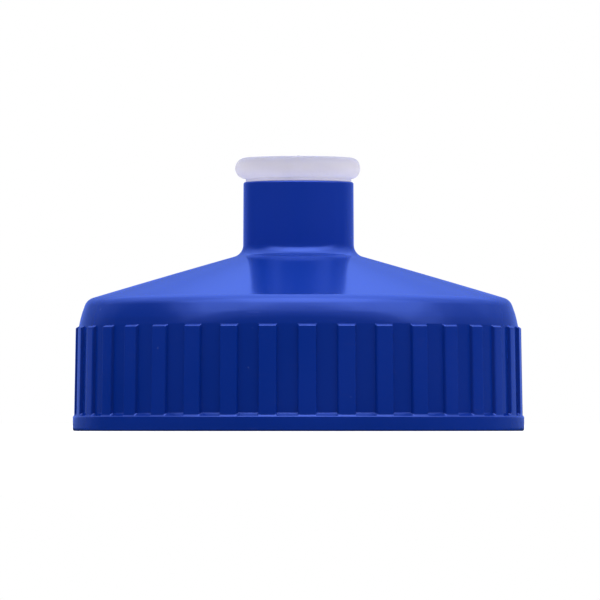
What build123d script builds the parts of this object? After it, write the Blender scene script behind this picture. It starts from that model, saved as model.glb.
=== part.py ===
"""Screw-on closure of a wide-mouth squeeze bottle, with a push-pull spout.

Millimetres, +Z up through the spout, origin at the centre of the cap's rim,
which is what the closure stands on. The spout is modelled pushed in,
which is closed; pulled out, it has risen by spout_stroke.
"""

import os
from math import cos, radians, tan

from build123d import *

# ---------------------------------------------------------------- cap, outside
skirt_radius = 35.0  # over the bead round the rim, the widest place
bead_height = 2.2
bead_step = 0.2  # the bead stands this far out of the ribs' feet
bead_round = 0.3
rib_count = 36
rib_width = 2.9
rib_depth = 0.5
rib_end_height = 0.35  # over which the ribs' upper ends round off
rib_end_bulge = 0.1
rib_draft = 1.0  # degrees
rib_flank_draft = 14  # degrees, each side of a rib
rib_round = 0.22
rib_phase = 2.2  # degrees, of the first rib from straight ahead of the front
shoulder_height = 20.32  # where the band above the ribs meets the cone
band_height = 4.15  # plain band between the ribs and that corner
band_draft = 16.4  # degrees
band_crown = 0.12  # the band bulges this far
shoulder_slope = 16.3  # degrees below the horizontal
shoulder_crown = 0.05  # the cone bulges this far
shoulder_round = 1.9
collar_radius = 8.6
collar_length = 11.2  # straight tube above the cone
collar_draft = 0.3  # degrees
collar_root_round = 1.9
collar_rim_round = 0.35

# ----------------------------------------------------------------- cap, inside
skirt_wall = 1.9
shoulder_wall = 1.6
collar_wall = 1.5
mouth_chamfer = 0.6
thread_depth = 1.2
thread_pitch = 4.5
thread_start = 3.9  # height of the ridge's middle where it starts
thread_plug_gap = 0.8  # along Z, least, from the top of the crest to the plug ring
thread_root_width = 2.3
thread_crest_width = 1.0
thread_gap_count = 6  # vent gaps round the thread, which is cut into short runs
thread_gap_width = 4.5
neck_channel = 3.2  # between the thread's crest and the plug ring
plug_wall = 1.5
plug_length = 4.2
plug_round = 0.5
seat_drop = 1.8  # the sealing ring's seat lies this far below shoulder_height
boss_wall = 1.6
boss_overhang = 0.45  # the boss reaches this far past the valve core's ring

# --------------------------------------------------------------- sealing ring
seal_thickness = 2.0
seal_gap = 0.1  # to the walls on both sides of its channel
seal_round = 0.35
seal_bead_count = 2
seal_bead_radius = 0.3

# ----------------------------------------------------------------- valve core
core_step = 1.2  # the core's ring is this much wider than the collar's bore, each side
core_ring_height = 2.6
core_ring_wall = 1.3
core_fit = 0.02  # radial, to its socket
core_snap = 0.25  # how far its snap bead stands out
core_snap_height = 1.0
core_cover = 0.9  # cap material between the socket's end and the cone's foot
spoke_count = 4
spoke_width = 1.6
spoke_height = 1.8
pin_step = 0.5  # the pin is this much thicker than its tip, each side
pin_core_radius = 1.7
pin_core_cover = 3.0  # solid length above the pin's hollow
pin_tip_stand = 0.4  # the tip stands this far above the orifice
pin_tip_chamfer = 0.35
pin_shoulder_gap = 0.2
gate_radius = 0.32  # moulding gate's stub on the tip
gate_height = 0.45

# -------------------------------------------------------------- spout, moving
spout_stroke = 5.5
running_clearance = 0.08  # radial, snap bead to collar and stem to collar's lip
tip_clearance = 0.05  # radial, pin tip to orifice
stop_clearance = 0.05  # along Z, at both ends of the stroke
retaining_lip = 0.3  # the collar's lip stands this far into its bore
retaining_lip_height = 1.2
lip_chamfer = 0.25
stem_wall = 1.15
snap_bead_height = 1.4
snap_bead_chamfer = 0.2
stem_lead = 0.5  # length of the stem below its snap bead
flange_inset = 0.35  # from the collar's outer edge
flange_height = 0.45
head_wall = 1.7  # rigid tube inside the soft lip
head_ridge = 0.35  # ridge that keys the soft lip
head_ridge_height = 0.9
orifice_radius = 2.75
orifice_land = 1.1
dish_radius = 4.7  # opening of the soft lip's top
dish_drop = 0.25  # the soft lip's top falls this far towards the dish
lip_height = 3.25
lip_bulge = 1.64  # the soft lip swells this far past the flange
lip_skin = 0.5  # soft material over the rigid head's top
stem_end_round = 0.2


def cone_height(radius):
    """Height of the straight cone's outside at a radius."""
    return shoulder_height + (shoulder_corner - radius) * tan(radians(shoulder_slope))


def under_cone(radius):
    """Height of the cone's underside at a radius."""
    return cone_height(radius) - shoulder_wall / cos(radians(shoulder_slope))


def edges_at(part, radius, height, reach=0.05):
    """The circular edges round Z with this radius at this height."""
    return [
        edge
        for edge in part.edges().filter_by(GeomType.CIRCLE)
        if abs(edge.radius - radius) < reach
        and abs(edge.arc_center.Z - height) < reach
        and abs(edge.arc_center.X) + abs(edge.arc_center.Y) < reach
    ]


# ------------------------------------------------- places worked out from those
band_foot_height = shoulder_height - band_height
rib_top = band_foot_height - rib_end_height
rib_foot = skirt_radius - bead_step
rib_head = rib_foot - (rib_top - bead_height) * tan(radians(rib_draft))
groove_foot = rib_foot - rib_depth
band_foot = rib_head - rib_depth
bead_slope_rise = skirt_radius - groove_foot
shoulder_corner = band_foot - band_height * tan(radians(band_draft))
collar_root = cone_height(collar_radius)
collar_top = collar_root + collar_length
collar_rim = collar_radius - collar_length * tan(radians(collar_draft))

thread_major = band_foot - skirt_wall
thread_crest = thread_major - thread_depth
plug_outer = thread_crest - neck_channel
plug_inner = plug_outer - plug_wall
seat_height = shoulder_height - seat_drop
plug_foot = seat_height - plug_length
run_rise = thread_pitch / thread_gap_count
thread_room = plug_foot - thread_plug_gap - thread_crest_width / 2 - thread_start
thread_rise = int(thread_room / run_rise) * run_rise  # whole runs only

core_radius = collar_radius - collar_wall + core_step
socket_radius = core_radius + core_fit
socket_top = collar_root - core_cover
core_foot = socket_top - core_ring_height
core_middle = socket_top - core_ring_height / 2
boss_foot = core_foot - boss_overhang
boss_outer = socket_radius + core_snap + boss_wall

bore_radius = collar_radius - collar_wall
lip_bore = bore_radius - retaining_lip
stem_radius = lip_bore - running_clearance
bead_radius = bore_radius - running_clearance
stem_bore = stem_radius - stem_wall
lip_underside = collar_top - retaining_lip_height
bead_top = lip_underside - spout_stroke - stop_clearance
bead_foot = bead_top - snap_bead_height
stem_foot = bead_foot - stem_lead

flange_radius = collar_rim - flange_inset
flange_foot = collar_top + stop_clearance
flange_top = flange_foot + flange_height
lip_top = flange_top + lip_height
lip_middle = flange_top + lip_height / 2
head_top = lip_top - lip_skin
head_radius = stem_bore + head_wall
ridge_radius = head_radius + head_ridge
orifice_foot = head_top - orifice_land
tip_radius = orifice_radius - tip_clearance
pin_radius = tip_radius + pin_step
tip_top = head_top + pin_tip_stand
pin_shoulder = orifice_foot - pin_shoulder_gap


# ------------------------------------------------------------------- screw cap
with BuildPart() as thread_ridge:
    # one trapezoid swept along a helix, then bored out so its crest is round
    with BuildLine() as thread_path:
        Helix(thread_pitch, thread_rise, thread_major, center=(0, 0, thread_start))
    start = thread_path.line @ 0
    root_end, crest_end = skirt_wall / 4, -thread_depth * 1.3
    flank = (thread_root_width - thread_crest_width) / 2 / thread_depth
    root_half = thread_root_width / 2 + flank * root_end
    crest_half = thread_root_width / 2 + flank * crest_end
    with BuildSketch(Plane(start, x_dir=(1, 0, 0), z_dir=thread_path.line % 0)):
        Polygon(
            (root_end, -root_half),
            (root_end, root_half),
            (crest_end, crest_half),
            (crest_end, -crest_half),
            align=None,
        )
    sweep(is_frenet=True)
    thread_middle = thread_start + thread_rise / 2
    thread_reach = thread_rise + 2 * thread_pitch
    with Locations((0, 0, thread_middle)):
        Cylinder(thread_crest, thread_reach, mode=Mode.SUBTRACT)
    with Locations((0, 0, thread_middle)):
        with PolarLocations(thread_major, thread_gap_count):
            Box(thread_depth * 6, thread_gap_width, thread_reach, mode=Mode.SUBTRACT)

with BuildPart() as grip_ribs:
    # wedge-sided bars all round, trimmed to the ribs' tapered outline
    with BuildSketch():
        with PolarLocations(0, rib_count, start_angle=rib_phase - 90):
            tip = rib_foot + rib_depth
            root = groove_foot - skirt_wall / 2
            widening = tan(radians(rib_flank_draft))
            tip_half = rib_width / 2 - (tip - groove_foot) * widening
            root_half = rib_width / 2 + (groove_foot - root) * widening
            Polygon((root, -root_half), (tip, -tip_half), (tip, tip_half), (root, root_half), align=None)
    extrude(amount=shoulder_height)
    with BuildSketch(Plane.XZ):
        inside = groove_foot - skirt_wall / 2
        with BuildLine():
            Polyline(
                (band_foot, band_foot_height),
                (inside, band_foot_height),
                (inside, bead_height / 2),
                (rib_foot, bead_height / 2),
                (rib_foot, bead_height),
                (rib_head, rib_top),
            )
            end_middle = Vector((rib_head + band_foot) / 2, (rib_top + band_foot_height) / 2)
            end_outward = Vector(rib_end_height, rib_depth).normalized()
            ThreePointArc(
                (rib_head, rib_top),
                end_middle + end_outward * rib_end_bulge,
                (band_foot, band_foot_height),
            )
        make_face()
    revolve(axis=Axis.Z, mode=Mode.INTERSECT)
    outer_corners = [
        edge
        for edge in grip_ribs.edges().filter_by(lambda e: abs(e.tangent_at(0.5).Z) > 0.9)
        if Vector(edge.center().X, edge.center().Y).length > rib_head - rib_depth / 3
        and edge.center().Z > bead_height
    ]
    fillet(outer_corners, rib_round)

with BuildPart() as screw_cap:
    # outside: bead, wall between the ribs, crowned band, crowned cone and collar
    with BuildSketch(Plane.XZ):
        with BuildLine():
            crown_middle = (shoulder_corner + collar_radius) / 2
            Polyline(
                (0, 0),
                (skirt_radius, 0),
                (skirt_radius, bead_height),
                (groove_foot, bead_height + bead_slope_rise),
                (band_foot, band_foot_height),
            )
            ThreePointArc(
                (band_foot, band_foot_height),
                ((band_foot + shoulder_corner) / 2 + band_crown, shoulder_height - band_height / 2),
                (shoulder_corner, shoulder_height),
            )
            ThreePointArc(
                (shoulder_corner, shoulder_height),
                (crown_middle, cone_height(crown_middle) + shoulder_crown),
                (collar_radius, collar_root),
            )
            Polyline((collar_radius, collar_root), (collar_rim, collar_top), (0, collar_top), (0, 0))
        make_face()
    revolve(axis=Axis.Z)
    fillet(edges_at(screw_cap, shoulder_corner, shoulder_height), shoulder_round)
    fillet(edges_at(screw_cap, collar_radius, collar_root), collar_root_round)
    fillet(edges_at(screw_cap, collar_rim, collar_top), collar_rim_round)
    bead_edges = edges_at(screw_cap, skirt_radius, 0) + edges_at(screw_cap, skirt_radius, bead_height)
    fillet(bead_edges, bead_round)
    add(grip_ribs.part)

    # inside: threaded skirt, sealing ring's channel, plug ring, socket and bore
    with BuildSketch(Plane.XZ):
        Polygon(
            (0, 0),
            (thread_major + mouth_chamfer, 0),
            (thread_major, mouth_chamfer),
            (thread_major, seat_height),
            (plug_outer, seat_height),
            (plug_outer, plug_foot),
            (plug_inner, plug_foot),
            (plug_inner, under_cone(plug_inner)),
            (boss_outer, under_cone(boss_outer)),
            (boss_outer, boss_foot),
            (socket_radius, boss_foot),
            (socket_radius, core_middle - core_snap_height / 2),
            (socket_radius + core_snap, core_middle),
            (socket_radius, core_middle + core_snap_height / 2),
            (socket_radius, socket_top),
            (bore_radius, socket_top),
            (bore_radius, lip_underside),
            (lip_bore, lip_underside + retaining_lip),
            (lip_bore, collar_top - lip_chamfer),
            (lip_bore + lip_chamfer, collar_top),
            (0, collar_top),
            align=None,
        )
    revolve(axis=Axis.Z, mode=Mode.SUBTRACT)
    plug_edges = edges_at(screw_cap, plug_outer, plug_foot) + edges_at(screw_cap, plug_inner, plug_foot)
    fillet(plug_edges, plug_round)
    add(thread_ridge.part)

# ---------------------------------------------------------------- sealing ring
with BuildPart() as sealing_ring:
    # flat ring in the channel above the thread, with round beads on its wet face
    seal_inner = plug_outer + seal_gap
    seal_outer = thread_major - seal_gap
    seal_foot = seat_height - seal_thickness
    with BuildSketch(Plane.XZ):
        Polygon(
            (seal_inner, seal_foot),
            (seal_outer, seal_foot),
            (seal_outer, seat_height),
            (seal_inner, seat_height),
            align=None,
        )
    revolve(axis=Axis.Z)
    fillet(sealing_ring.edges().filter_by(GeomType.CIRCLE), seal_round)
    bead_pitch = (seal_outer - seal_inner) / (seal_bead_count + 1)
    with BuildSketch(Plane.XZ):
        for number in range(seal_bead_count):
            with Locations((seal_inner + bead_pitch * (number + 1), seal_foot)):
                Circle(seal_bead_radius)
    revolve(axis=Axis.Z)

# ------------------------------------------------------------------ valve core
with BuildPart() as valve_core:
    # ring with a snap bead, pressed into the socket from below
    ring_inner = core_radius - core_ring_wall
    with BuildSketch(Plane.XZ):
        Polygon(
            (ring_inner, core_foot),
            (core_radius, core_foot),
            (core_radius, core_middle - core_snap_height / 2),
            (core_radius + core_snap, core_middle),
            (core_radius, core_middle + core_snap_height / 2),
            (core_radius, socket_top),
            (ring_inner, socket_top),
            align=None,
        )
    revolve(axis=Axis.Z)
    # pin up the middle, with the narrower tip that plugs the orifice
    with BuildSketch(Plane.XZ):
        Polygon(
            (0, core_foot),
            (pin_radius, core_foot),
            (pin_radius, pin_shoulder - (pin_radius - tip_radius)),
            (tip_radius, pin_shoulder),
            (tip_radius, tip_top - pin_tip_chamfer),
            (tip_radius - pin_tip_chamfer, tip_top),
            (gate_radius, tip_top),
            (gate_radius * 0.7, tip_top + gate_height),
            (0, tip_top + gate_height),
            align=None,
        )
    revolve(axis=Axis.Z)
    # spokes leave the passages for the drink
    with BuildSketch(Plane.XY.offset(core_foot)):
        with PolarLocations(0, spoke_count, start_angle=45):
            Polygon(
                (pin_radius / 2, -spoke_width / 2),
                (ring_inner + core_ring_wall / 2, -spoke_width / 2),
                (ring_inner + core_ring_wall / 2, spoke_width / 2),
                (pin_radius / 2, spoke_width / 2),
                align=None,
            )
    extrude(amount=spoke_height)
    # the pin is hollow from below
    with BuildSketch(Plane.XY.offset(core_foot)):
        Circle(pin_core_radius)
    extrude(amount=tip_top - pin_core_cover - core_foot, mode=Mode.SUBTRACT)

# ---------------------------------------------------------------- spout sleeve
with BuildPart() as spout_sleeve:
    with BuildSketch(Plane.XZ):
        Polygon(
            (stem_bore, stem_foot),
            (stem_radius - stem_end_round, stem_foot),
            (stem_radius, bead_foot),
            (bead_radius, bead_foot + snap_bead_chamfer),
            (bead_radius, bead_top - (bead_radius - stem_radius)),
            (stem_radius, bead_top),
            (stem_radius, flange_foot),
            (flange_radius, flange_foot),
            (flange_radius, flange_top),
            (head_radius, flange_top),
            (head_radius, lip_middle - head_ridge_height / 2),
            (ridge_radius, lip_middle),
            (ridge_radius, lip_middle + head_ridge_height / 2),
            (head_radius, lip_middle + head_ridge_height / 2),
            (head_radius, head_top),
            (orifice_radius, head_top),
            (orifice_radius, orifice_foot),
            (stem_bore, orifice_foot),
            align=None,
        )
    revolve(axis=Axis.Z)

# ------------------------------------------------------------------- spout lip
with BuildPart() as spout_lip:
    # soft ring over the sleeve's head: an ellipse outside, the head's shape inside
    with BuildSketch(Plane.XZ):
        with BuildLine():
            EllipticalCenterArc(
                (flange_radius, lip_middle), lip_bulge, lip_height / 2, start_angle=-90, arc_size=180
            )
            Polyline(
                (flange_radius, lip_top),
                (dish_radius, lip_top - dish_drop),
                (dish_radius, head_top),
                (head_radius, head_top),
                (head_radius, lip_middle + head_ridge_height / 2),
                (ridge_radius, lip_middle + head_ridge_height / 2),
                (ridge_radius, lip_middle),
                (head_radius, lip_middle - head_ridge_height / 2),
                (head_radius, flange_top),
                (flange_radius, flange_top),
            )
        make_face()
    revolve(axis=Axis.Z)


# ---------------------------------------------------------------- write pieces
os.makedirs("parts", exist_ok=True)

screw_cap.part.label = "screw_cap"
export_step(screw_cap.part, "parts/screw_cap.step")

sealing_ring.part.label = "sealing_ring"
export_step(sealing_ring.part, "parts/sealing_ring.step")

valve_core.part.label = "valve_core"
export_step(valve_core.part, "parts/valve_core.step")

spout_sleeve.part.label = "spout_sleeve"
export_step(spout_sleeve.part, "parts/spout_sleeve.step")

spout_lip.part.label = "spout_lip"
export_step(spout_lip.part, "parts/spout_lip.step")
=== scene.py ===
"""Looks of a push-pull screw cap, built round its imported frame.

Outlines are (radius, height, rounding) corners in millimetres. Meshes are in metres.
"""

from math import ceil, cos, hypot, pi, radians, sin, tan

import bmesh
import bpy
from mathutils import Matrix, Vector


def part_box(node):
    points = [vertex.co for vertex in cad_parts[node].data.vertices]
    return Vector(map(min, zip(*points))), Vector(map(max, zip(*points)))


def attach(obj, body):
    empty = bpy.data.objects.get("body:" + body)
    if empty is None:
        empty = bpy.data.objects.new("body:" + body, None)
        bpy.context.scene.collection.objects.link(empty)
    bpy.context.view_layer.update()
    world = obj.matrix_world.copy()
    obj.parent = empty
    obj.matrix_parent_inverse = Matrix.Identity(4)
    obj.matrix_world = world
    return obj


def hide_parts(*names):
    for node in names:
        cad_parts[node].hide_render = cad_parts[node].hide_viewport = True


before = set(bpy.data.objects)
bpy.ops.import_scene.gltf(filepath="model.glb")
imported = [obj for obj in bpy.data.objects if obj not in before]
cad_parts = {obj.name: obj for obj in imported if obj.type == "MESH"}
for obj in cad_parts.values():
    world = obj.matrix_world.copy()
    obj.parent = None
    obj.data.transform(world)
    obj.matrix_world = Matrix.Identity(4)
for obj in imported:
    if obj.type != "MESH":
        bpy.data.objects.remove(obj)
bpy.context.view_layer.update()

MM = 0.001


def node_low(name):
    """Lowest corner of a CAD node, in millimetres."""
    return Vector(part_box(name)[0]) / MM


def node_high(name):
    """Highest corner of a CAD node, in millimetres."""
    return Vector(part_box(name)[1]) / MM


# ------------------------------------------------------- sizes from the frame
seal_gap = 0.1  # to the walls on both sides of its channel
skirt_radius = node_high("screw_cap").x
collar_top = node_high("screw_cap").z
seal_outer = node_high("sealing_ring").x
thread_major = seal_outer + seal_gap
seat_height = node_high("sealing_ring").z
core_foot = node_low("valve_core").z
stem_foot = node_low("spout_sleeve").z
flange_radius = node_high("spout_sleeve").x
head_top = node_high("spout_sleeve").z
lip_foot = node_low("spout_lip").z
lip_top = node_high("spout_lip").z
lip_radius = node_high("spout_lip").x

# ----------------------------------------------------------- sizes of the cap
bead_height = 2.2
bead_step = 0.2
rib_count = 36
rib_half = 1.45  # half its width at the root
rib_depth = 0.5
rib_flank = radians(14)
rib_round = 0.22
rib_draft = radians(1)
rib_end_height = 0.35
rib_end_bulge = 0.1
rib_phase = radians(2.2 - 90)
seat_drop = 1.8
band_height = 4.15
shoulder_height = seat_height + seat_drop
band_foot_height = shoulder_height - band_height
band_draft = radians(16.4)
band_crown = 0.12
shoulder_slope = radians(16.3)
shoulder_crown = 0.05
shoulder_round = 1.9
shoulder_wall = 1.6
collar_radius = 8.6
collar_root_round = 1.9
collar_draft = radians(0.3)
collar_bore = 7.1
collar_rim_round = 0.35
collar_lip_bore = 6.8
collar_lip_height = 1.2
socket_radius = 8.32
socket_below = 0.45  # the socket reaches this far below the core's ring
socket_groove = 0.25  # depth of the groove for the core's snap bead
socket_height = 2.6
boss_radius = 10.17

thread_depth = 1.2
thread_crest = thread_major - thread_depth
thread_root_half = 1.15
thread_crest_half = 0.5
thread_pitch = 4.5
thread_start = 3.9
thread_runs = 12
runs_per_turn = 6
run_gap = 4.5
run_root = 0.4  # the thread's mesh starts this far inside the skirt's wall
neck_channel = 3.2
plug_wall = 1.5
plug_length = 4.2
plug_outer = thread_crest - neck_channel
plug_inner = plug_outer - plug_wall
plug_foot = seat_height - plug_length
mouth_chamfer = 0.6

rib_foot = skirt_radius - bead_step
rib_end = band_foot_height - rib_end_height
rib_head = rib_foot - (rib_end - bead_height) * tan(rib_draft)
groove_foot = rib_foot - rib_depth
band_foot = rib_head - rib_depth
shoulder_corner = band_foot - (shoulder_height - band_foot_height) * tan(band_draft)
ledge_width = skirt_radius - groove_foot
ledge_rise = 0.72 * ledge_width  # flatter than the CAD's 45 degrees

# ------------------------------------------------- sizes of the spout's pieces
stem_radius = 6.72
stem_bore = 5.57
snap_radius = 7.02
stem_lead = 0.5
snap_height = 1.4
stop_clearance = 0.05
snap_foot = stem_foot + stem_lead
snap_top = snap_foot + snap_height
flange_foot = collar_top + stop_clearance
head_radius = 7.27
ridge_radius = 7.62
ridge_height = 0.9
orifice_radius = 2.75
orifice_land = 1.1
orifice_foot = head_top - orifice_land
dish_radius = 4.7
dish_drop = 0.25
lip_settle = 0.25  # the lip's bulge is drawn in this far on its +X side

ARC_STEP = radians(11)
ARC_REACH = 0.45  # of each side of a corner, at most, that its rounding takes
GUARD = 0.12  # from a rounded corner to the ring that keeps the flat beside it flat
SHARP = radians(38)  # edges folded further than this shade sharp


# ------------------------------------------------------------------ mesh tools
def rounded(outline):
    """Points along a closed outline of (radius, height, rounding) corners, with arcs for the roundings."""
    points = []
    for i, (radius, height, rounding) in enumerate(outline):
        here = Vector((radius, height))
        back = Vector(outline[i - 1][:2]) - here
        ahead = Vector(outline[(i + 1) % len(outline)][:2]) - here
        turn = pi - back.angle(ahead)
        if rounding == 0 or turn < radians(2):
            points.append(here)
            continue
        reach = min(rounding * tan(turn / 2), ARC_REACH * back.length, ARC_REACH * ahead.length)
        arc_radius = reach / tan(turn / 2)
        start = here + back.normalized() * reach
        inward = (back.normalized() + ahead.normalized()).normalized()
        centre = here + inward * hypot(reach, arc_radius)
        spoke = start - centre
        way = 1 if back.cross(ahead) < 0 else -1
        steps = max(3, ceil(turn / ARC_STEP))
        if back.length > reach + 4 * GUARD:
            points.append(start + back.normalized() * GUARD)
        for k in range(steps + 1):
            angle = way * turn * k / steps
            points.append(centre + Vector((
                spoke.x * cos(angle) - spoke.y * sin(angle),
                spoke.x * sin(angle) + spoke.y * cos(angle),
            )))
        if ahead.length > reach + 4 * GUARD:
            points.append(here + ahead.normalized() * (reach + GUARD))
    return points


def even(columns):
    """Angles of evenly spaced columns, starting at the first rib."""
    return [rib_phase + 2 * pi * k / columns for k in range(columns)]


def bridge(faces, lower, upper):
    """Faces between two closed loops of vertices, one of which may have a multiple of the other's count."""
    coarse, fine = (lower, upper) if len(lower) < len(upper) else (upper, lower)
    share = len(fine) // len(coarse)
    for i in range(len(coarse)):
        j = (i + 1) % len(coarse)
        run = [fine[(i * share + k) % len(fine)] for k in range(share + 1)]
        face = [coarse[j], coarse[i], *run]
        faces.append(face if coarse is upper else face[::-1])


def lathe(rings):
    """Vertices and faces of a closed solid of revolution from its (angles, radii, height) rings."""
    vertices, faces, loops = [], [], []
    for angles, radii, height in rings:
        loops.append(range(len(vertices), len(vertices) + len(angles)))
        for angle, radius in zip(angles, radii):
            vertices.append((radius * cos(angle), radius * sin(angle), height))
    for i, loop in enumerate(loops):
        bridge(faces, loop, loops[(i + 1) % len(loops)])
    return vertices, faces


def new_piece(name, vertices, faces, body, slot, node):
    """A smooth closed mesh from vertices in millimetres that rides on a body and stands for a CAD node."""
    mesh = bpy.data.meshes.new(name)
    mesh.from_pydata([Vector(vertex) * MM for vertex in vertices], [], faces)
    tidy = bmesh.new()
    tidy.from_mesh(mesh)
    bmesh.ops.recalc_face_normals(tidy, faces=tidy.faces)
    tidy.to_mesh(mesh)
    tidy.free()
    mesh.shade_smooth()
    mesh.set_sharp_from_angle(angle=SHARP)
    piece = bpy.data.objects.new(name, mesh)
    bpy.context.scene.collection.objects.link(piece)
    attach(piece, body)
    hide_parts(node)
    return piece


def turned_piece(name, outline, columns, body, slot, node):
    """A plain turned piece from its closed outline."""
    angles = even(columns)
    rings = [(angles, [point.x] * columns, point.y) for point in rounded(outline)]
    return new_piece(name, *lathe(rings), body, slot, node)


# ------------------------------------------------------------------- screw cap
def rib_columns():
    """(angle, share of the rib's depth) of every column round the ribbed skirt."""
    arc_start = rib_half - rib_depth * tan(rib_flank) - rib_round * tan((pi / 2 - rib_flank) / 2)
    half = [(0.0, 1.0), (1.0, 1.0)]
    for k in range(4):
        turn = (pi / 2 - rib_flank) * k / 3
        half.append((arc_start + rib_round * sin(turn), 1 - rib_round * (1 - cos(turn)) / rib_depth))
    half += [(rib_half - 0.025, 0.14), (rib_half + 0.02, 0.0), (rib_half + 0.14, 0.0), (2.3, 0.0)]
    pitch = 2 * pi / rib_count
    half = [(across / rib_foot, share) for across, share in half] + [(pitch / 2, 0.0)]
    period = [(-angle, share) for angle, share in half[-2:0:-1]] + half
    return [(rib_phase + pitch * rib + angle, share) for rib in range(rib_count) for angle, share in period]


def rib_rise(radius, height):
    """How far a rib stands out of the skirt where the skirt has this radius."""
    if height <= rib_end:
        return rib_foot - (height - bead_height) * tan(rib_draft) - radius
    share = min(1, (height - rib_end) / rib_end_height)
    return rib_depth * (1 - share) + 4 * rib_end_bulge * share * (1 - share)


def cone_height(radius):
    return shoulder_height + (shoulder_corner - radius) * tan(shoulder_slope)


def under_cone(radius):
    return cone_height(radius) - shoulder_wall / cos(shoulder_slope)


def band_corners():
    """Points up the crowned band above the ribs, short of the rounded shoulder."""
    corners = []
    for share in (0.04, 0.1, 0.2, 0.3, 0.4, 0.5):
        straight = band_foot + (shoulder_corner - band_foot) * share
        height = band_foot_height + (shoulder_height - band_foot_height) * share
        corners.append((straight + 4 * band_crown * share * (1 - share), height, 0))
    return corners


def cap_outside():
    """Corners up the skirt, over the shoulder and up the collar."""
    ledge_head = bead_height + ledge_rise
    corners = [
        (skirt_radius, 0, 0.3),
        (skirt_radius, bead_height, 0.22),
        (skirt_radius - 0.5 * ledge_width, bead_height + 0.5 * ledge_rise, 0),
        (groove_foot, ledge_head, 0.2),
    ]
    plain_rise = rib_end - 0.5 - ledge_head
    rib_heights = [ledge_head + plain_rise * share for share in (0.2, 0.4, 0.6, 0.8, 1)]
    rib_heights += [rib_end - 0.2, rib_end - 0.05]
    rib_heights += [rib_end + rib_end_height * share for share in (0, 0.12, 0.3, 0.5, 0.7, 0.88)]
    draft = (groove_foot - band_foot) / (band_foot_height - ledge_head)
    corners += [(groove_foot - (height - ledge_head) * draft, height, 0) for height in rib_heights]
    corners += [
        (band_foot, band_foot_height, 0),
        *band_corners(),
        (shoulder_corner, shoulder_height, shoulder_round),
    ]
    cone_steps = 16
    for k in range(2, cone_steps - 1):
        share = k / cone_steps
        radius = shoulder_corner + (collar_radius - shoulder_corner) * share
        corners.append((radius, cone_height(radius) + 4 * shoulder_crown * share * (1 - share), 0))
    collar_root = cone_height(collar_radius)
    collar_rim = collar_radius - (collar_top - collar_root) * tan(collar_draft)
    return corners + [
        (collar_radius, collar_root, collar_root_round),
        (collar_rim, collar_top, collar_rim_round),
    ]


def cap_inside():
    """Corners down the collar's bore and round the mouldings under the shoulder to the cap's mouth."""
    socket_foot = core_foot - socket_below
    socket_middle = core_foot + socket_height / 2
    socket_top = core_foot + socket_height
    return [
        (collar_lip_bore, collar_top, 0.25),
        (collar_lip_bore, collar_top - 0.9, 0.08),
        (collar_bore, collar_top - collar_lip_height, 0.08),
        (collar_bore, socket_top, 0.1),
        (socket_radius, socket_top, 0.1),
        (socket_radius, socket_middle + 0.5, 0),
        (socket_radius + socket_groove, socket_middle, 0.1),
        (socket_radius, socket_middle - 0.5, 0),
        (socket_radius, socket_foot, 0.15),
        (boss_radius, socket_foot, 0.3),
        (boss_radius, under_cone(boss_radius), 0.5),
        (plug_inner, under_cone(plug_inner), 0.6),
        (plug_inner, plug_foot, 0.5),
        (plug_outer, plug_foot, 0.5),
        (plug_outer, seat_height, 0.2),
        (thread_major, seat_height, 0.2),
        (thread_major, mouth_chamfer, 0.15),
        (thread_major + mouth_chamfer, 0, 0.15),
    ]


def make_cap_shell():
    """The ribbed skirt, shoulder and collar, with everything inside but the thread."""
    columns = rib_columns()
    fine = [angle for angle, _ in columns]
    coarse = even(len(fine) // 4)
    rings = []
    for point in rounded(cap_outside() + cap_inside()):
        over_cone = point.y > cone_height(point.x) - 0.8 and point.x > collar_lip_bore + 0.6
        if not over_cone and point.x < thread_major + 0.9:
            rings.append((coarse, [point.x] * len(coarse), point.y))
            continue
        rise = rib_rise(point.x, point.y) if bead_height < point.y < band_foot_height else 0
        rings.append((fine, [point.x + max(0, rise) * share for _, share in columns], point.y))
    return new_piece("cap_shell", *lathe(rings), "cap", "cap_plastic", "screw_cap")


def make_thread():
    """The thread's short runs, rooted a little way inside the skirt's wall."""
    root = thread_major + run_root
    flank = (thread_root_half - thread_crest_half) / thread_depth
    root_half = thread_root_half + run_root * flank
    section = rounded([
        (root, -root_half, 0),
        (root, root_half, 0),
        (thread_crest, thread_crest_half, 0.2),
        (thread_crest, -thread_crest_half, 0.2),
    ])
    steps = 26
    run_angle = 2 * pi / runs_per_turn
    gap_angle = run_gap / thread_crest
    vertices, faces = [], []
    for run in range(thread_runs):
        loops = []
        for step in range(steps + 1):
            angle = run * run_angle + gap_angle / 2 + (run_angle - gap_angle) * step / steps
            middle = thread_start + thread_pitch * angle / (2 * pi)
            loops.append(range(len(vertices), len(vertices) + len(section)))
            vertices += [(p.x * cos(angle), p.x * sin(angle), middle + p.y) for p in section]
        for near, far in zip(loops, loops[1:]):
            for i in range(len(section)):
                j = (i + 1) % len(section)
                faces.append((near[i], near[j], far[j], far[i]))
        faces.append(tuple(loops[0]))
        faces.append(tuple(loops[-1])[::-1])
    return new_piece("cap_thread", vertices, faces, "cap", "cap_plastic", "screw_cap")


cap_shell = make_cap_shell()
cap_thread = make_thread()

# ---------------------------------------------------------------- sealing ring
seal_thickness = 2
seal_round = 0.35
seal_bead_radius = 0.3
seal_inner = plug_outer + seal_gap
seal_foot = seat_height - seal_thickness
bead_pitch = (seal_outer - seal_inner) / 3


def seal_beads():
    """The two half-round beads under the ring, from the inner one outward."""
    corners = []
    for bead in (1, 2):
        middle = seal_inner + bead_pitch * bead
        for k in range(8, -1, -1):
            turn = -pi * k / 8
            across = middle + seal_bead_radius * cos(turn)
            corners.append((across, seal_foot + seal_bead_radius * sin(turn), 0))
    return corners


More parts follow.
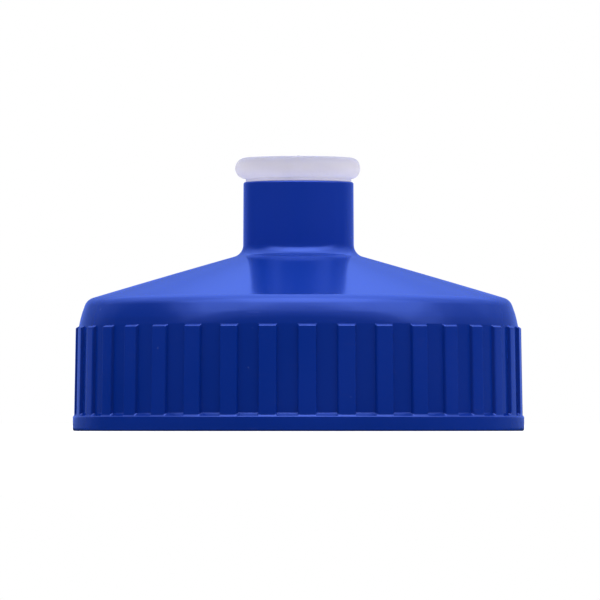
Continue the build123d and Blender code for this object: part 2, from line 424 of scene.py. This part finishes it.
seal = turned_piece(
    "sealing_ring_soft",
    [
        (seal_inner, seal_foot, seal_round),
        *seal_beads(),
        (seal_outer, seal_foot, seal_round),
        (seal_outer, seat_height, seal_round),
        (seal_inner, seat_height, seal_round),
    ],
    180, "cap", "seal_rubber", "sealing_ring",
)

# ---------------------------------------------------------------- spout sleeve
ridge_middle = (lip_foot + lip_top) / 2
ridge_foot = (lip_foot + lip_top - ridge_height) / 2
ridge_top = (lip_foot + lip_top + ridge_height) / 2
sleeve = turned_piece(
    "sleeve_body",
    [
        (stem_bore, stem_foot, 0.1),
        (stem_radius - 0.2, stem_foot, 0.1),
        (stem_radius, snap_foot, 0),
        (snap_radius, snap_foot + 0.2, 0.06),
        (snap_radius, snap_top - 0.3, 0.06),
        (stem_radius, snap_top, 0.06),
        (stem_radius, flange_foot, 0.06),
        (flange_radius, flange_foot, 0.12),
        (flange_radius, lip_foot, 0),
        (head_radius, lip_foot, 0),
        (head_radius, ridge_foot, 0),
        (ridge_radius, ridge_middle, 0),
        (ridge_radius, ridge_top, 0),
        (head_radius, ridge_top, 0),
        (head_radius, head_top, 0),
        (orifice_radius, head_top, 0.3),
        (orifice_radius, orifice_foot, 0.15),
        (stem_bore, orifice_foot, 0.3),
    ],
    160, "spout", "spout_plastic", "spout_sleeve",
)


# ------------------------------------------------------------------- spout lip
def lip_outline():
    """Half an ellipse outside, a shallow dish on top and the head's shape inside."""
    half_height = (lip_top - lip_foot) / 2
    bulge = lip_radius - flange_radius
    steps = 24
    corners = []
    for k in range(steps + 1):
        angle = pi * (k / steps - 0.5)
        corners.append((flange_radius + bulge * cos(angle), ridge_middle + half_height * sin(angle), 0))
    return corners + [
        (dish_radius, lip_top - dish_drop, 0.2),
        (dish_radius, head_top, 0),
        (head_radius, head_top, 0),
        (head_radius, ridge_top, 0),
        (ridge_radius, ridge_top, 0),
        (ridge_radius, ridge_middle, 0),
        (head_radius, ridge_foot, 0),
        (head_radius, lip_foot, 0),
    ]


def make_lip():
    """The soft lip, whose bulge is drawn in a little on its +X side."""
    columns = 192
    angles = even(columns)
    rings = []
    for point in rounded(lip_outline()):
        bulge = max(0, point.x - flange_radius) / (lip_radius - flange_radius)
        radii = [point.x - lip_settle * bulge * (1 + cos(angle)) / 2 for angle in angles]
        rings.append((angles, radii, point.y))
    return new_piece("lip_soft", *lathe(rings), "spout", "lip_rubber", "spout_lip")


lip = make_lip()
lip.visible_glossy = False  # the cone would mirror it as a pale smudge
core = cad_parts["valve_core"]


# -------------------------------------------------------------- material tools
class Shader:
    """A Principled material with the few procedural nodes that these finishes share."""

    def __init__(self, name):
        self.material = bpy.data.materials.new(name)
        self.material.use_nodes = True
        self.nodes = self.material.node_tree.nodes
        self.links = self.material.node_tree.links
        self.principled = self.nodes["Principled BSDF"]
        self.place = self.nodes.new("ShaderNodeTexCoord").outputs["Object"]

    def set(self, **values):
        for name, value in values.items():
            self.principled.inputs[name.replace("_", " ")].default_value = value

    def feed(self, name, output):
        self.links.new(output, self.principled.inputs[name])

    def noise(self, size, detail=3, stretch=(1, 1, 1)):
        """Noise whose features are about size metres across, divided by stretch along each axis."""
        mapping = self.nodes.new("ShaderNodeMapping")
        mapping.inputs["Scale"].default_value = stretch
        texture = self.nodes.new("ShaderNodeTexNoise")
        texture.inputs["Scale"].default_value = 1 / size
        texture.inputs["Detail"].default_value = detail
        self.links.new(self.place, mapping.inputs["Vector"])
        self.links.new(mapping.outputs["Vector"], texture.inputs["Vector"])
        return texture.outputs["Fac"]

    def height(self):
        """Height above the cap's rim in metres."""
        split = self.nodes.new("ShaderNodeSeparateXYZ")
        self.links.new(self.place, split.inputs["Vector"])
        return split.outputs["Z"]

    def radius(self):
        """Distance from the cap's axis in metres."""
        flat = self.nodes.new("ShaderNodeMapping")
        flat.inputs["Scale"].default_value = (1, 1, 0)
        length = self.nodes.new("ShaderNodeVectorMath")
        length.operation = "LENGTH"
        self.links.new(self.place, flat.inputs["Vector"])
        self.links.new(flat.outputs["Vector"], length.inputs[0])
        return length.outputs["Value"]

    def ramp(self, value, start, end, low, high):
        """Value from start to end of the input turned into low to high."""
        remap = self.nodes.new("ShaderNodeMapRange")
        for name, number in (("From Min", start), ("From Max", end), ("To Min", low), ("To Max", high)):
            remap.inputs[name].default_value = number
        self.links.new(value, remap.inputs["Value"])
        return remap.outputs["Result"]

    def math(self, operation, first, second):
        node = self.nodes.new("ShaderNodeMath")
        node.operation = operation
        for socket, value in zip(node.inputs, (first, second)):
            if isinstance(value, (int, float)):
                socket.default_value = value
            else:
                self.links.new(value, socket)
        return node.outputs["Value"]

    def mix(self, factor, first, second):
        """A colour between two, each of them a triple or an output."""
        node = self.nodes.new("ShaderNodeMix")
        node.data_type = "RGBA"
        self.links.new(factor, node.inputs["Factor"])
        for socket, value in ((node.inputs[6], first), (node.inputs[7], second)):
            if isinstance(value, tuple):
                socket.default_value = (*value, 1)
            else:
                self.links.new(value, socket)
        return node.outputs[2]

    def bump(self, height, distance, under=None):
        """Relief of the given depth in metres, over another relief."""
        node = self.nodes.new("ShaderNodeBump")
        node.inputs["Distance"].default_value = distance
        self.links.new(height, node.inputs["Height"])
        if under:
            self.links.new(under, node.inputs["Normal"])
        return node.outputs["Normal"]


# ------------------------------------------------------------------- materials
def painted_groove_shade(shader):
    """Painted shade: rises from 0.8 in the grooves between the ribs to 1 on the ribs, and is 1 above them,
    to darken the grooves.
    """
    foot = groove_foot * MM
    on_ribs = shader.ramp(shader.radius(), foot + 0.00005, foot + 0.0003, 0.8, 1)
    return shader.math("MAXIMUM", on_ribs, shader.ramp(shader.height(), 0.0155, 0.0175, 0, 1))


def painted_cone_light(shader):
    """Painted light: rises to 0.7 over the shoulder and to 1 at the collar's foot, lighter up the cone and
    collar. A chosen tint, no real wall.
    """
    on_cone = shader.ramp(shader.height(), 0.0185, 0.0215, 0, 0.7)
    return shader.math("MAXIMUM", on_cone, shader.ramp(shader.height(), 0.0255, 0.0285, 0, 1))


def cap_plastic():
    """Glossy deep blue polypropylene with faint flow, fine scratches and a little dust, and painted shade
    in the grooves and painted light up the cone and collar.
    """
    shader = Shader("cap_plastic")
    flow = shader.noise(0.02, 2)
    peel = shader.noise(0.0012, 2)
    scratches = shader.noise(0.004, 4, stretch=(1, 1, 14))
    scratched = shader.ramp(scratches, 0.66, 0.74, 0, 1)
    dust = shader.ramp(shader.noise(0.0006, 0), 0.88, 0.92, 0, 1)
    uneven = shader.ramp(flow, 0.3, 0.7, 0, 1)
    colour = shader.mix(uneven, (0.0012, 0.0180, 0.184), (0.0015, 0.0198, 0.202))
    # painted shade: the grooves are mixed a fifth of the way toward a darker blue
    colour = shader.mix(painted_groove_shade(shader), (0.001, 0.012, 0.12), colour)
    # painted light: from the shoulder up, the colour turns to a lighter blue
    colour = shader.mix(painted_cone_light(shader), colour, (0.0040, 0.027, 0.255))
    colour = shader.mix(shader.math("MULTIPLY", dust, 0.15), colour, (0.3, 0.36, 0.6))
    rough = shader.ramp(flow, 0.3, 0.7, 0.11, 0.15)
    rough = shader.math("ADD", rough, shader.math("MULTIPLY", scratched, 0.12))
    shader.feed("Base Color", colour)
    shader.feed("Roughness", rough)
    relief = shader.bump(peel, 0.000004)
    shader.feed("Normal", shader.bump(scratched, 0.000003, relief))
    shader.set(IOR=1.5)
    return shader.material


def lip_rubber():
    """Soft frosted rubber of a milky lilac, with painted shade darkening it to about half at its top
    against the light from above.
    """
    shader = Shader("lip_rubber")
    cloud = shader.noise(0.003, 3)
    grain = shader.noise(0.0004, 2)
    colour = shader.mix(shader.ramp(cloud, 0.3, 0.7, 0, 1), (0.71, 0.685, 0.735), (0.76, 0.732, 0.787))
    # painted shade: the base colour darkens from the lip's foot to about half at its top, against the light
    # from above
    upper = shader.ramp(shader.height(), lip_foot * MM, lip_top * MM, 0, 1)
    shader.feed("Base Color", shader.mix(upper, colour, (0.35, 0.336, 0.362)))
    shader.feed("Roughness", shader.ramp(grain, 0.3, 0.7, 0.5, 0.65))
    shader.feed("Normal", shader.bump(grain, 0.00002))
    shader.set(IOR=1.3, Subsurface_Weight=1, Subsurface_Scale=0.005, Subsurface_Radius=(1, 1, 1.1))
    shader.set(Transmission_Weight=0.3)
    return shader.material


def natural_plastic(name, light, dark):
    """Satin uncoloured polypropylene, slightly cloudy."""
    shader = Shader(name)
    cloud = shader.noise(0.004, 3)
    grain = shader.noise(0.0006, 2)
    shader.feed("Base Color", shader.mix(shader.ramp(cloud, 0.3, 0.7, 0, 1), dark, light))
    shader.feed("Roughness", shader.ramp(cloud, 0.3, 0.7, 0.28, 0.38))
    shader.feed("Normal", shader.bump(grain, 0.000006))
    shader.set(IOR=1.49, Subsurface_Weight=0.25, Subsurface_Scale=0.001, Subsurface_Radius=(1, 1, 1))
    return shader.material


def seal_rubber():
    """Matt off-white silicone."""
    shader = Shader("seal_rubber")
    cloud = shader.noise(0.006, 3)
    grain = shader.noise(0.0005, 2)
    cloudy = shader.ramp(cloud, 0.3, 0.7, 0, 1)
    shader.feed("Base Color", shader.mix(cloudy, (0.66, 0.66, 0.64), (0.74, 0.74, 0.72)))
    shader.feed("Roughness", shader.ramp(grain, 0.3, 0.7, 0.5, 0.65))
    shader.feed("Normal", shader.bump(grain, 0.00001))
    shader.set(IOR=1.41)
    return shader.material


def paint(piece, material):
    piece.data.materials.clear()
    piece.data.materials.append(material)


blue = cap_plastic()
paint(cap_shell, blue)
paint(cap_thread, blue)
paint(seal, seal_rubber())
paint(sleeve, natural_plastic("spout_plastic", (0.46, 0.45, 0.52), (0.41, 0.40, 0.47)))
paint(core, natural_plastic("core_plastic", (0.36, 0.36, 0.40), (0.32, 0.32, 0.36)))
paint(lip, lip_rubber())


# ----------------------------------------------------------------------- floor
def make_floor():
    """A pale floor that the camera sees as white wherever nothing shades it."""
    reach = 40
    mesh = bpy.data.meshes.new("floor")
    corners = [(-reach, -reach, 0), (reach, -reach, 0), (reach, reach, 0), (-reach, reach, 0)]
    mesh.from_pydata(corners, [], [(0, 1, 2, 3)])
    floor = bpy.data.objects.new("floor", mesh)
    floor.location.z = -0.00002
    bpy.context.scene.collection.objects.link(floor)
    material = bpy.data.materials.new("floor")
    material.use_nodes = True
    nodes, links = material.node_tree.nodes, material.node_tree.links
    nodes.clear()
    paper = nodes.new("ShaderNodeBsdfDiffuse")
    paper.inputs["Color"].default_value = (0.52, 0.52, 0.53, 1)
    # reflections see the floor not as lit paper but as this dim dark-blue glow, a painted reflection
    dark = nodes.new("ShaderNodeEmission")
    dark.inputs["Color"].default_value = (0.02, 0.04, 0.10, 1)
    glow = nodes.new("ShaderNodeEmission")
    ray = nodes.new("ShaderNodeLightPath").outputs
    strength = nodes.new("ShaderNodeMath")
    strength.operation = "MULTIPLY"
    strength.inputs[1].default_value = 0.22
    total = nodes.new("ShaderNodeAddShader")
    reflected = nodes.new("ShaderNodeMixShader")
    output = nodes.new("ShaderNodeOutputMaterial")
    links.new(ray["Is Camera Ray"], strength.inputs[0])
    links.new(strength.outputs["Value"], glow.inputs["Strength"])
    links.new(paper.outputs["BSDF"], total.inputs[0])
    links.new(glow.outputs["Emission"], total.inputs[1])
    links.new(ray["Is Glossy Ray"], reflected.inputs[0])
    links.new(total.outputs["Shader"], reflected.inputs[1])
    links.new(dark.outputs["Emission"], reflected.inputs[2])
    links.new(reflected.outputs["Shader"], output.inputs["Surface"])
    floor.data.materials.append(material)


make_floor()


# ----------------------------------------------------------------------- light
class Sky:
    """The world's nodes."""

    def __init__(self):
        self.world = bpy.data.worlds.new("studio")
        self.world.use_nodes = True
        self.nodes = self.world.node_tree.nodes
        self.links = self.world.node_tree.links
        self.nodes.clear()
        direction = self.nodes.new("ShaderNodeTexCoord")
        split = self.nodes.new("ShaderNodeSeparateXYZ")
        self.links.new(direction.outputs["Generated"], split.inputs["Vector"])
        self.x, self.y, self.z = split.outputs
        self.ray = self.nodes.new("ShaderNodeLightPath").outputs

    def math(self, operation, first, second=0.0):
        node = self.nodes.new("ShaderNodeMath")
        node.operation = operation
        for socket, value in zip(node.inputs, (first, second)):
            if isinstance(value, (int, float)):
                socket.default_value = value
            else:
                self.links.new(value, socket)
        return node.outputs["Value"]

    def curve(self, value, stops):
        """A smooth brightness from (place, brightness) stops, with places from 0 to 1."""
        ramp = self.nodes.new("ShaderNodeValToRGB")
        ramp.color_ramp.interpolation = "EASE"
        elements = ramp.color_ramp.elements
        while len(elements) < len(stops):
            elements.new(0.5)
        for element, (place, brightness) in zip(elements, stops):
            element.position = place
            element.color = (brightness, brightness, brightness, 1)
        self.links.new(value, ramp.inputs["Fac"])
        return ramp.outputs["Color"]

    def glow(self, colour, strength):
        node = self.nodes.new("ShaderNodeBackground")
        node.inputs["Color"].default_value = (*colour, 1)
        if isinstance(strength, (int, float)):
            node.inputs["Strength"].default_value = strength
        else:
            self.links.new(strength, node.inputs["Strength"])
        return node.outputs["Background"]

    def choose(self, factor, first, second):
        node = self.nodes.new("ShaderNodeMixShader")
        self.links.new(factor, node.inputs[0])
        self.links.new(first, node.inputs[1])
        self.links.new(second, node.inputs[2])
        return node.outputs["Shader"]


def light_scene():
    """White to the camera, a blue strip of sky to reflections, soft neutral light to the rest.

    The strip's tint and brightness are set for the front view, and aren't a real studio's.
    """
    sky = Sky()
    # 0 is the horizon behind, 0.5 overhead and 1 the horizon in front
    along = sky.math("DIVIDE", sky.math("ARCTAN2", sky.z, sky.y), pi)
    strip = sky.curve(along, [
        (0.0, 0.09), (0.06, 0.07), (0.11, 0.10), (0.19, 0.20), (0.33, 0.38), (0.50, 0.62),
        (0.60, 1.0), (0.70, 1.0), (0.762, 0.80), (0.802, 0.22), (0.852, 0.02), (1.0, 0.005),
    ])
    sideways = sky.math("ABSOLUTE", sky.math("SUBTRACT", sky.x, 0.05))
    aside = sky.curve(sideways, [
        (0.0, 1.0), (0.34, 0.95), (0.55, 0.71), (0.74, 0.57), (0.85, 0.26), (0.94, 0.03), (1.0, 0.0),
    ])
    above = sky.math("GREATER_THAN", sky.z, 0.0)
    strip_light = sky.math("MULTIPLY", sky.math("MULTIPLY", strip, aside), above)
    reflected = sky.glow((0.18, 0.30, 1.0), sky.math("MULTIPLY", strip_light, 11.0))
    soft_light = 0.3
    overhead, behind, left, right = (sky.z, 1, 1.35), (sky.y, 1, 0.8), (sky.x, -1, 0.9), (sky.x, 1, 1.35)
    for part, way, strength in (overhead, behind, left, right):
        toward = sky.math("MAXIMUM", sky.math("MULTIPLY", part, way), 0.0)
        soft_light = sky.math("ADD", sky.math("MULTIPLY", toward, strength), soft_light)
    soft = sky.glow((1, 1, 1), soft_light)
    white = sky.glow((1, 1, 1), 1)
    output = sky.nodes.new("ShaderNodeOutputWorld")
    not_through = sky.math("SUBTRACT", 1.0, sky.ray["Is Transmission Ray"])
    mirrored = sky.math("MULTIPLY", sky.ray["Is Glossy Ray"], not_through)
    unseen = sky.choose(mirrored, soft, reflected)
    sky.links.new(sky.choose(sky.ray["Is Camera Ray"], unseen, white), output.inputs["Surface"])
    sky.world.cycles.sampling_method = "NONE"
    bpy.context.scene.world = sky.world


light_scene()


def fill_lip():
    """Soft light from below that reaches only the frosted lip and the sleeve under it."""
    light = bpy.data.lights.new("lip_fill", "AREA")
    light.shape = "DISK"
    light.size = 2
    light.energy = 26
    lamp = bpy.data.objects.new("lip_fill", light)
    lamp.location.z = -0.5
    lamp.rotation_euler.x = pi
    lamp.visible_camera = False
    lamp.visible_glossy = False
    bpy.context.scene.collection.objects.link(lamp)
    lit = bpy.data.collections.new("lit_by_fill")
    shading = bpy.data.collections.new("shading_the_fill")
    for piece in (lip, sleeve):
        lit.objects.link(piece)
    for piece in (lip, core):
        shading.objects.link(piece)
    lamp.light_linking.receiver_collection = lit
    lamp.light_linking.blocker_collection = shading


fill_lip()

# ---------------------------------------------------------------------- camera
camera = bpy.data.objects.new("camera", bpy.data.cameras.new("camera"))
camera.data.lens = 413.7
camera.data.sensor_width = 36
camera.data.clip_end = 200
camera.location = (0.000233, -1.07, 0.001)
aim = Vector((0.000233, 0, 0.0203)) - camera.location
camera.rotation_euler = aim.to_track_quat("-Z", "Y").to_euler()
bpy.context.scene.collection.objects.link(camera)
bpy.context.scene.camera = camera
bpy.context.scene.view_settings.view_transform = "Standard"
